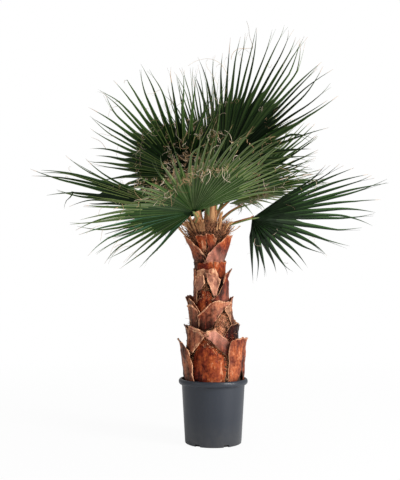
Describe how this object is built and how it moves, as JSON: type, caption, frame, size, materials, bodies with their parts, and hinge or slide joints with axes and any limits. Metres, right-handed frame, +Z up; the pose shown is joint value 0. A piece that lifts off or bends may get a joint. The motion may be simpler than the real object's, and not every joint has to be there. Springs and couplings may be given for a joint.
{
  "type": "potted mexican fan palm",
  "caption": "Young fan palm in a round nursery pot: a tapering trunk clad in split leaf bases, stout stumps and fan-shaped fronds on slim stems.",
  "frame": {"origin": "centre of the pot's flat underside, at ground level", "axes": "+Z up along the trunk, -Y towards the front of the plant, +X to its right"},
  "size_m": [1.2811, 1.2275, 1.5347],
  "materials": {
    "pot": "moulded charcoal nursery plastic, soft sheen",
    "soil": "dark brown potting soil with bits of bark and fibre",
    "trunk": "rough brown fibre matting",
    "leaf_base": "reddish brown old leaf bases with papery tan edges",
    "stump": "dry tan cut stems",
    "stem": "green stems with orange brown thorny margins",
    "blade": "deep green pleated leaf with pale ribs"
  },
  "bodies": {
    "root": {"pot": "pot", "potting_soil": "soil", "trunk": "trunk", "leaf_base_1a": "leaf_base", "leaf_base_1b": "leaf_base", "leaf_base_1c": "leaf_base", "leaf_base_1d": "leaf_base", "leaf_base_1e": "leaf_base", "leaf_base_2a": "leaf_base", "leaf_base_2b": "leaf_base", "leaf_base_2c": "leaf_base", "leaf_base_2d": "leaf_base", "leaf_base_2e": "leaf_base", "leaf_base_3a": "leaf_base", "leaf_base_3b": "leaf_base", "leaf_base_3c": "leaf_base", "leaf_base_3d": "leaf_base", "leaf_base_3e": "leaf_base", "leaf_base_4a": "leaf_base", "leaf_base_4b": "leaf_base", "leaf_base_4c": "leaf_base", "leaf_base_4d": "leaf_base", "leaf_base_4e": "leaf_base", "leaf_base_5a": "leaf_base", "leaf_base_5b": "leaf_base", "leaf_base_5c": "leaf_base", "leaf_base_5d": "leaf_base", "leaf_base_5e": "leaf_base", "leaf_base_husk": "leaf_base", "stem_stump_1": "stump", "stem_stump_2": "stump", "stem_stump_3": "stump", "stem_stump_4": "stump", "stem_stump_5": "stump", "stem_stump_6": "stump", "stem_stump_7": "stump", "stem_stump_8": "stump", "stem_back_left": "stem", "stem_back_right": "stem", "stem_front": "stem", "stem_left": "stem", "stem_rear": "stem", "stem_rear_left": "stem", "stem_rear_right": "stem", "stem_right": "stem", "stem_right_low": "stem", "stem_right_rear": "stem", "stem_spear": "stem", "blade_back_left": "blade", "blade_back_right": "blade", "blade_front": "blade", "blade_left": "blade", "blade_rear": "blade", "blade_rear_left": "blade", "blade_rear_right": "blade", "blade_right": "blade", "blade_right_low": "blade", "blade_right_rear": "blade", "blade_spear": "blade"}
  },
  "joints": []
}
